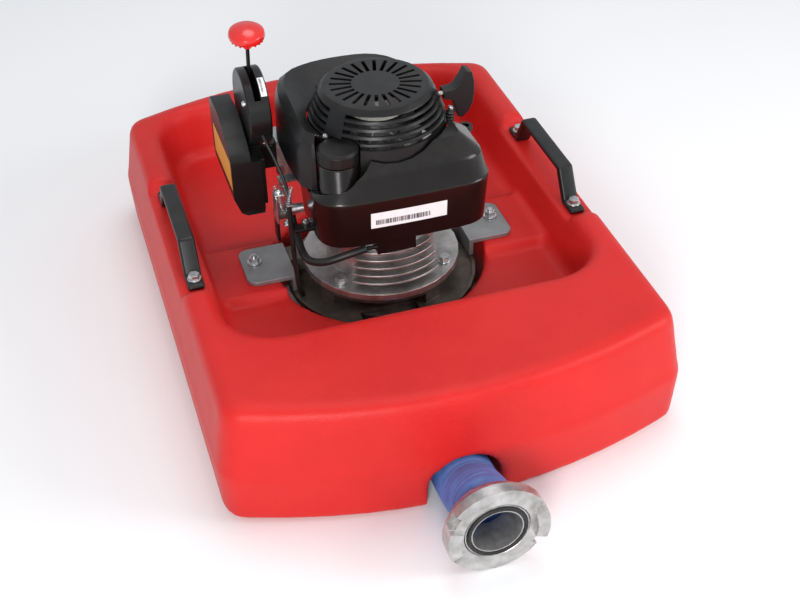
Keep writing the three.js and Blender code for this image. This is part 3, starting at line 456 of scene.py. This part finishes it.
# %% [markdown]
# ## Making pieces
# A finished piece is a mesh whose object sits at the origin. `new_piece` links it, gives it its finish
# and lets it ride on a body. `softened` copies a CAD node, merges its doubles, joins its flat faces and
# rounds its edges with a Bevel modifier, because a moulded or cast piece never has a knife edge and the
# rounded edge is what catches the light. Weighted Normal keeps the broad faces flat between the rounds.
# %% Piece helpers
def new_piece(name, mesh, material, body, replaces=()):
    piece = bpy.data.objects.new(name, mesh)
    scene.collection.objects.link(piece)
    mesh.materials.clear()
    mesh.materials.append(material)
    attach(piece, body)
    if replaces:
        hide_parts(*replaces)
    return piece

def applied(name, mesh, modifiers):
    """The mesh that a list of modifiers makes of another."""
    carrier = bpy.data.objects.new(name + "_carrier", mesh)
    scene.collection.objects.link(carrier)
    for kind, settings in modifiers:
        modifier = carrier.modifiers.new(kind.lower(), kind)
        for key, value in settings.items():
            setattr(modifier, key, value)
    graph = bpy.context.evaluated_depsgraph_get()
    made = bpy.data.meshes.new_from_object(carrier.evaluated_get(graph), depsgraph=graph)
    made.name = name
    bpy.data.objects.remove(carrier)
    return made

def merged_copy(node):
    mesh = nodes[node].data.copy()
    shape = bmesh.new()
    shape.from_mesh(mesh)
    bmesh.ops.remove_doubles(shape, verts=shape.verts, dist=2e-6)
    bmesh.ops.dissolve_limit(shape, angle_limit=math.radians(0.6), verts=shape.verts,
                             edges=shape.edges)
    shape.to_mesh(mesh)
    shape.free()
    for name in [layer.name for layer in mesh.attributes if layer.name.startswith("custom")]:
        mesh.attributes.remove(mesh.attributes[name])
    return mesh

def softened(node, width, material=None, segments=2, from_angle=32, smooth_below=50):
    mesh = merged_copy(node)
    mesh = applied(node + "_soft", mesh, [
        ("BEVEL", {"width": width, "segments": segments, "limit_method": "ANGLE",
                   "angle_limit": math.radians(from_angle), "use_clamp_overlap": True,
                   "harden_normals": False}),
    ])
    mesh.shade_smooth()
    mesh.set_sharp_from_angle(angle=math.radians(smooth_below))
    mesh = applied(node + "_soft", mesh, [("WEIGHTED_NORMAL", {"keep_sharp": True, "weight": 60})])
    piece = new_piece(node + "_shape", mesh, material or finish_of_slot[slot_of_node[node]],
                      body_of_node[node], [node])
    return piece

print("piece helpers ready")

# %% [markdown]
# ## The float
# The real float is blown or rotation-moulded in one piece, so all its edges are soft and its broad
# faces are very slightly wavy. The CAD solid has the right planes and openings, so a voxel Remesh turns
# it into an even skin of small squares and a few passes of Smooth round every edge by the same amount.
# %% Float skin
def moulded(node, voxel, passes):
    return applied(node + "_skin", merged_copy(node), [
        ("REMESH", {"mode": "VOXEL", "voxel_size": voxel, "use_smooth_shade": True}),
        ("SMOOTH", {"factor": 0.5, "iterations": passes}),
    ])

float_skin = new_piece("float_skin", moulded("float_hull", 0.0047, 7), float_red, "base",
                       ["float_hull"])
print("float skin", len(float_skin.data.polygons), "faces")

# %% [markdown]
# ## Covers, castings and plates
# These pieces keep their CAD shape and only need their edges rounded. Each line gives the node and the
# radius of its edges in metres: thick rubbery mouldings are round, plates and machined rims are crisp.
# %% Rounded copies
edge_rounds = {
    "handle_left": 0.0035, "handle_right": 0.0035, "bracket_left": 0.001, "bracket_right": 0.001,
    "pump_lantern": 0.0015, "volute_casing": 0.0015, "suction_cover": 0.0015, "strainer": 0.0006,
    "hose_clamp": 0.0003, "coupling_tail": 0.0005, "coupling_seal": 0.0006, "coupling_ring": 0.0008,
    "engine_base": 0.0008, "crankcase": 0.0015, "cylinder": 0.0008, "head_cover": 0.002,
    "spark_plug_cap": 0.001, "muffler": 0.003, "oil_cap": 0.0012, "fan_cover": 0.0012,
    "recoil_housing": 0.0009, "starter_grip": 0.0025, "fuel_tank": 0.0018, "fuel_cap": 0.001,
    "fuel_tap": 0.0008, "fuel_tap_lever": 0.0008, "carburettor": 0.0012, "throttle_arm": 0.0005,
    "governor_arm": 0.0005, "control_bracket": 0.0006, "air_cleaner_base": 0.0012,
    "air_cleaner_cover": 0.007, "throttle_box": 0.0024, "throttle_lever": 0.0005,
    "throttle_knob": 0.001, "bracket_nut_left": 0.0006, "bracket_nut_right": 0.0006,
    "handle_bolt_left_front": 0.0006, "handle_bolt_left_rear": 0.0006,
    "handle_bolt_right_front": 0.0006, "handle_bolt_right_rear": 0.0006,
    "flange_bolt_1": 0.0006, "flange_bolt_2": 0.0006, "flange_bolt_3": 0.0006,
}
for node, width in edge_rounds.items():
    softened(node, width)
print(len(edge_rounds), "rounded copies")

# %% [markdown]
# ## The delivery hose
# The hose is rubber wound over fabric, which leaves a fine ring every few millimetres. The swept tube
# keeps one radius, so here rings of points are set square to the hose's line instead, and the outer
# radius rises and falls with the distance along it. An inner wall makes the hose hollow.
# %% Ridged hose
def ridged_hose(line, outer, bore, pitch, ridge, sides=72):
    shape = bmesh.new()
    travelled = [0.0]
    for a, b in zip(line, line[1:]):
        travelled.append(travelled[-1] + (b - a).length)
    walls = {"outer": [], "inner": []}
    for i, point in enumerate(line):
        ahead = (line[min(i + 1, len(line) - 1)] - line[max(i - 1, 0)]).normalized()
        side = ahead.cross(Vector((0, 0, 1))).normalized()
        up = side.cross(ahead)
        wave = 0.5 + 0.5 * math.cos(2 * math.pi * travelled[i] / pitch)
        for wall, radius in (("outer", outer - ridge * wave), ("inner", bore)):
            ring = []
            for k in range(sides):
                angle = 2 * math.pi * k / sides
                offset = side * math.cos(angle) + up * math.sin(angle)
                ring.append(shape.verts.new(point + offset * radius))
            walls[wall].append(ring)
    def band(first, second):
        for k in range(sides):
            n = (k + 1) % sides
            shape.faces.new((first[k], first[n], second[n], second[k]))
    for rings in walls.values():
        for first, second in zip(rings, rings[1:]):
            band(first, second)
    band(walls["outer"][0], walls["inner"][0])
    band(walls["outer"][-1], walls["inner"][-1])
    bmesh.ops.recalc_face_normals(shape, faces=shape.faces)
    mesh = bpy.data.meshes.new("delivery_hose_shape")
    shape.to_mesh(mesh)
    shape.free()
    mesh.shade_smooth()
    mesh.set_sharp_from_angle(angle=math.radians(50))
    return mesh

hose_points = [
    (-0.014, -0.071, 0.040), (-0.014, -0.104, 0.0393), (-0.014, -0.174, 0.0383),
    (-0.014, -0.274, 0.0385), (-0.014, -0.349, 0.0388), (-0.0143, -0.378, 0.0435),
    (-0.015, -0.401, 0.055), (-0.015, -0.416, 0.0615), (-0.015, -0.425, 0.0623),
    (-0.015, -0.435, 0.0623)]
hose_mesh = ridged_hose(smooth_line(hose_points, 36), outer=0.0375, bore=0.031, pitch=0.0046,
                        ridge=0.0007)
new_piece("delivery_hose_shape", hose_mesh, hose_blue, "base", ["delivery_hose"])
print("hose has", len(hose_mesh.polygons), "faces")

# %% [markdown]
# ## Finger ribs of the knob
# Small ribs run round the underside of the red knob. The tree `around_axis` takes one rib, copies it
# round the Z axis and turns each copy to face outwards. `place_at` then tilts the ring of ribs to the
# throttle lever and moves it up along it. The lever's pivot comes from the joint in the record.
# %% Around an axis
around_axis, given, result = new_tree("around_axis", [
    ("Count", "Int", 12), ("Radius", "Float", 0.02), ("Material", "Material", None)])
ring = around_axis.nodes.new("GeometryNodeMeshCircle")
spin = around_axis.nodes.new("ShaderNodeVectorMath")
spin.operation = "NORMALIZE"
spot = around_axis.nodes.new("GeometryNodeInputPosition")
turn = around_axis.nodes.new("FunctionNodeAlignRotationToVector")
turn.axis = "X"
turn.pivot_axis = "Z"
copies = around_axis.nodes.new("GeometryNodeInstanceOnPoints")
real = around_axis.nodes.new("GeometryNodeRealizeInstances")
dressed = around_axis.nodes.new("GeometryNodeSetMaterial")
for source, target in (
    (given.outputs["Count"], ring.inputs["Vertices"]),
    (given.outputs["Radius"], ring.inputs["Radius"]),
    (ring.outputs["Mesh"], copies.inputs["Points"]),
    (given.outputs["Geometry"], copies.inputs["Instance"]),
    (spot.outputs["Position"], spin.inputs[0]),
    (spin.outputs["Vector"], turn.inputs["Vector"]),
    (turn.outputs["Rotation"], copies.inputs["Rotation"]),
    (copies.outputs["Instances"], real.inputs["Geometry"]),
    (real.outputs["Geometry"], dressed.inputs["Geometry"]),
    (given.outputs["Material"], dressed.inputs["Material"]),
    (dressed.outputs["Geometry"], result.inputs["Geometry"]),
):
    around_axis.links.new(source, target)

def block(low, high, width=0.0):
    shape = bmesh.new()
    bmesh.ops.create_cube(shape, size=1)
    for vert in shape.verts:
        vert.co = Vector([a + (b - a) * (c + 0.5) for a, b, c in zip(low, high, vert.co)])
    if width:
        bmesh.ops.bevel(shape, geom=shape.edges[:], offset=width, segments=2, affect="EDGES",
                        profile=0.5)
    mesh = bpy.data.meshes.new("block")
    shape.to_mesh(mesh)
    shape.free()
    return mesh

def place_at(mesh, centre, toward=(0, 0, 1)):
    turn = Vector((0, 0, 1)).rotation_difference(Vector(toward)).to_matrix().to_4x4()
    mesh.transform(Matrix.Translation(centre) @ turn)
    return mesh

joint_place = {joint["name"]: joint["pos_m"] for joint in frame["record"]["behaviour"]["joints"]
               if "pos_m" in joint}
lever_tilt = math.radians(8.7)
lever_up = Vector((0, -math.sin(lever_tilt), math.cos(lever_tilt)))
lever_foot = Vector(joint_place["throttle_lever_turn"])
rib = block((-0.0045, -0.0011, 0), (0.0045, 0.0011, 0.006), 0.0005)
knob_ribs = grown("knob_ribs", rib, around_axis,
                  {"Count": 20, "Radius": 0.0172, "Material": knob_red})
rib_height = 0.0965
new_piece("knob_ribs", place_at(knob_ribs, lever_foot + lever_up * rib_height, lever_up), knob_red,
          "lever")
print("around_axis has", len(around_axis.nodes), "nodes")

# %% [markdown]
# ## Screws
# Small round-head screws hold the throttle box, the covers and the brackets. `lathe` spins a profile of
# radius and height pairs into a closed mesh. A screw head is such a profile with a socket in its top,
# and each screw names its place and the way it faces.
# %% Screw heads
def lathe(profile, sides=20):
    shape = bmesh.new()
    rings = []
    for radius, height in profile:
        rings.append([shape.verts.new((radius * math.cos(2 * math.pi * k / sides),
                                       radius * math.sin(2 * math.pi * k / sides), height))
                      for k in range(sides)])
    for first, second in zip(rings, rings[1:]):
        for k in range(sides):
            n = (k + 1) % sides
            shape.faces.new((first[k], first[n], second[n], second[k]))
    shape.faces.new(rings[-1])
    shape.faces.new(reversed(rings[0]))
    mesh = bpy.data.meshes.new("lathe")
    shape.to_mesh(mesh)
    shape.free()
    mesh.shade_smooth()
    mesh.set_sharp_from_angle(angle=math.radians(40))
    return mesh

def screw(name, centre, toward, radius=0.0042, body="base"):
    shares = [(0.6, -0.6), (1, -0.6), (1, 0.35), (0.8, 0.62), (0.45, 0.7), (0.4, 0.35)]
    profile = [(radius * across, radius * up) for across, up in shares]
    mesh = place_at(lathe(profile), centre, toward)
    return new_piece(name, mesh, bright_zinc, body)

screws = [
    screw("box_screw_left", (-0.1612, 0.082, 0.345), (-1, 0, 0)),
    screw("box_screw_front", (-0.141, 0.0735, 0.290), (0, -1, 0.55), 0.0036),
    screw("fairing_screw", (-0.0790, -0.0080, 0.3325), (-0.75, -0.5, 0.6), 0.0034),
    screw("plate_screw", (-0.108, 0.0105, 0.1965), (0, -0.5, 1), 0.0045),
]
print(len(screws), "screws")

# %% [markdown]
# ## Starter rope and boot
# A ribbed rubber boot stands on the tank beside it.
# %% Starter rope and boot
rope_line = [(0.074 + 0.0005 * i, 0.023, 0.3465) for i in range(61)]
rope_mesh = tube_mesh("starter_rope", rope_line, 0.0025, 14, braided_rope)
starter_rope = bpy.data.objects.new("starter_rope_shape", rope_mesh)
starter_rope.data.materials.clear()
starter_rope.data.materials.append(braided_rope)
scene.collection.objects.link(starter_rope)
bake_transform(starter_rope, "base", "grip", (0.078, 0.023, 0.3465), (0.098, 0.023, 0.3465))
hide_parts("starter_rope")

boot_profile = [(0.0062, 0.0)]
for i in range(4):
    low = 0.0045 * i
    crest = 0.0070 - 0.0004 * i
    groove = 0.0054 - 0.0003 * i
    boot_profile += [(crest, low + 0.001), (crest, low + 0.003), (groove, low + 0.0042)]
boot_profile.append((0.0040, 0.0205))
boot = place_at(lathe(boot_profile), (0.0925, 0.0155, 0.3065), (0.1, -0.15, 1))
new_piece("grip_boot", boot, soft_rubber, "base")
screw("boot_screw", (0.0945, 0.0125, 0.3290), (0, -0.3, 1), 0.0034)
print("rope and boot ready")

# %% [markdown]
# ## Labels
# A label is a thin sheet laid onto its surface with Shrinkwrap and given a little thickness with
# Solidify. The long white one on the tank and the small one beside the throttle slot have only plain
# dark bars, and the warm yellow one on the air cleaner has no print. The bars come from a noise along
# the label's own UV map, cut to black and white, and kept inside a window that is named by its middle
# and its half size, both as shares of the label.
# %% Labels
def plain_label(name, color, window=None):
    material = bpy.data.materials.new(name)
    material.use_nodes = True
    tree = material.node_tree
    shader = tree.nodes["Principled BSDF"]
    shader.inputs["Roughness"].default_value = 0.38
    paper = put(tree, "ShaderNodeGroup", node_tree=mottle)
    paper.inputs["Scale"].default_value = 90
    paper.inputs["Dark"].default_value = (*[0.9 * c for c in color], 1)
    paper.inputs["Light"].default_value = (*color, 1)
    tree.links.new(paper.outputs["Color"], shader.inputs["Base Color"])
    if window:
        middle_up, half_up, middle_along, half_along = window
        surface = put(tree, "ShaderNodeUVMap", uv_map="label")
        parts = put(tree, "ShaderNodeSeparateXYZ")
        wave = put(tree, "ShaderNodeTexNoise", noise_dimensions="1D")
        wave.inputs["Scale"].default_value = 95
        dark = put(tree, "ShaderNodeMath", operation="GREATER_THAN")
        dark.inputs[1].default_value = 0.47
        across = put(tree, "ShaderNodeMath", operation="COMPARE")
        across.inputs[1].default_value = middle_up
        across.inputs[2].default_value = half_up
        along = put(tree, "ShaderNodeMath", operation="COMPARE")
        along.inputs[1].default_value = middle_along
        along.inputs[2].default_value = half_along
        both = put(tree, "ShaderNodeMath", operation="MULTIPLY")
        all_three = put(tree, "ShaderNodeMath", operation="MULTIPLY")
        ink = put(tree, "ShaderNodeMix", data_type="RGBA")
        ink.inputs[7].default_value = (0.03, 0.03, 0.035, 1)
        join_up(
            tree,
            (surface.outputs["UV"], parts.inputs["Vector"]),
            (parts.outputs["X"], wave.inputs["W"]),
            (wave.outputs["Fac"], dark.inputs[0]),
            (parts.outputs["Y"], across.inputs[0]),
            (parts.outputs["X"], along.inputs[0]),
            (across.outputs["Value"], both.inputs[0]),
            (along.outputs["Value"], both.inputs[1]),
            (both.outputs["Value"], all_three.inputs[0]),
            (dark.outputs["Value"], all_three.inputs[1]),
            (all_three.outputs["Value"], ink.inputs["Factor"]),
            (paper.outputs["Color"], ink.inputs[6]),
            (ink.outputs[2], shader.inputs["Base Color"]),
        )
    return material

def label(name, corner, along, up, node, material, slot, steps=(24, 6)):
    corner, along, up = Vector(corner), Vector(along), Vector(up)
    columns, rows = steps
    points = [corner + along * (i / columns) + up * (j / rows)
              for j in range(rows + 1) for i in range(columns + 1)]
    faces = [(a, a + 1, a + columns + 2, a + columns + 1)
             for j in range(rows) for i in range(columns) for a in [j * (columns + 1) + i]]
    mesh = bpy.data.meshes.new(name)
    mesh.from_pydata(points, [], faces)
    layer = mesh.uv_layers.new(name="label")
    for loop in mesh.loops:
        row, column = divmod(loop.vertex_index, columns + 1)
        layer.data[loop.index].uv = (column / columns, row / rows)
    mesh = applied(name, mesh, [
        ("SHRINKWRAP", {"target": nodes[node], "wrap_method": "NEAREST_SURFACEPOINT",
                        "wrap_mode": "OUTSIDE_SURFACE", "offset": 0.0004}),
        ("SOLIDIFY", {"thickness": 0.0003, "offset": -1}),
    ])
    return new_piece(name, mesh, material, "base")

white_paper = plain_label("label_white", (0.86, 0.86, 0.87), (0.36, 0.16, 0.42, 0.36))
warm_paper = plain_label("label_warm", (0.80, 0.36, 0.05))
label("tank_label", (-0.043, -0.0825, 0.2285), (0.101, 0, 0), (0, 0, 0.0235), "fuel_tank",
      white_paper, "gloss_black")
label("cleaner_label", (-0.1915, 0.168, 0.233), (0, -0.108, 0), (0, 0, 0.043),
      "air_cleaner_cover", warm_paper, "black_plastic")
label("box_label", (-0.1408, 0.0890, 0.3765), (0, -0.0230, -0.0160), (0.0085, 0, 0), "throttle_box",
      white_paper, "black_plastic")
print("three labels")

# %% [markdown]
# ## Controls beside the air cleaner
# Between the air cleaner and the tank sit the governor's springs, thin rods and small tabs. A spring is
# the swept tube again, run along a helix that a loop works out. The tabs are blocks with bevelled edges.
# %% Springs and rods of the controls
def spring_line(start, end, radius, turns, steps=14):
    start, end = Vector(start), Vector(end)
    ahead = (end - start).normalized()
    side = ahead.cross(Vector((0.3, 0.2, 1))).normalized()
    up = ahead.cross(side)
    count = turns * steps
    return [start.lerp(end, i / count)
            + side * (radius * math.cos(2 * math.pi * i / steps))
            + up * (radius * math.sin(2 * math.pi * i / steps)) for i in range(count + 1)]

def rod(name, line, radius):
    mesh = tube_mesh(name, line, radius, 10, bright_zinc)
    return new_piece(name, mesh, bright_zinc, "base")

governor_line = spring_line((-0.137, 0.012, 0.222), (-0.137, 0.046, 0.236), 0.0032, 11)
return_line = spring_line((-0.133, 0.000, 0.228), (-0.126, -0.002, 0.262), 0.0026, 12)
rod("governor_spring", governor_line, 0.0006)
rod("return_spring", return_line, 0.0005)
rod("link_rod", smooth_line([(-0.134, 0.004, 0.262), (-0.137, 0.016, 0.256), (-0.134, 0.034, 0.250),
                             (-0.124, 0.060, 0.247)]), 0.0009)
rod("idle_rod", smooth_line([(-0.140, 0.010, 0.246), (-0.143, 0.018, 0.232), (-0.139, 0.022, 0.214),
                             (-0.141, 0.032, 0.206)]), 0.0011)
control_blocks = {
    "stop_tab": ((-0.147, 0.004, 0.246), (-0.134, 0.018, 0.249)),
    "side_tab": ((-0.1465, 0.000, 0.208), (-0.1445, 0.020, 0.247)),
    "low_tab": ((-0.139, -0.006, 0.206), (-0.1295, 0.004, 0.2085)),
}
for name, (low, high) in control_blocks.items():
    new_piece(name, block(low, high, 0.0006), bright_zinc, "base")
dark_plate = block((-0.125, -0.002, 0.1885), (-0.097, 0.014, 0.1935), 0.001)
new_piece("dark_plate", dark_plate, satin_black, "base")
screw("tab_screw", (-0.1405, 0.011, 0.2495), (0, -0.2, 1), 0.0046)
screw("low_screw", (-0.1345, -0.001, 0.2095), (0, -0.3, 1), 0.0038)
print("springs and rods set")

# %% [markdown]
# ## Floor and light
# A plain pale floor and large soft lights, as in a small product studio. The key light stands in front
# and to the left, a second one fills from the right, and a broad one hangs overhead.
# %% Floor
def pale_floor():
    mesh = bpy.data.meshes.new("floor")
    reach = 12
    mesh.from_pydata([(-reach, -reach, 0), (reach, -reach, 0), (reach, reach, 0), (-reach, reach, 0)],
                     [], [(0, 1, 2, 3)])
    material = bpy.data.materials.new("pale_floor")
    material.use_nodes = True
    shader = material.node_tree.nodes["Principled BSDF"]
    shader.inputs["Base Color"].default_value = (0.9, 0.9, 0.9, 1)
    shader.inputs["Roughness"].default_value = 0.6
    mesh.materials.append(material)
    floor = bpy.data.objects.new("floor", mesh)
    scene.collection.objects.link(floor)

pale_floor()
print("floor laid")

# %% Lights
def soft_light(name, place, target, size, watts):
    data = bpy.data.lights.new(name, "AREA")
    data.shape = "DISK"
    data.size = size
    data.energy = watts
    lamp = bpy.data.objects.new(name, data)
    scene.collection.objects.link(lamp)
    lamp.location = place
    lamp.rotation_euler = (Vector(target) - Vector(place)).to_track_quat("-Z", "Y").to_euler()

soft_light("key", (-1.0, -2.6, 1.3), (0, -0.1, 0.15), 0.8, 50)
soft_light("fill", (1.9, -1.2, 1.2), (0, -0.1, 0.15), 1.2, 24)
soft_light("top", (0.2, 0.4, 2.4), (0, 0, 0.2), 1.2, 12)
world = bpy.data.worlds.new("studio")
world.use_nodes = True
world.node_tree.nodes["Background"].inputs["Color"].default_value = (0.92, 0.95, 1.0, 1)
world.node_tree.nodes["Background"].inputs["Strength"].default_value = 0.64
scene.world = world
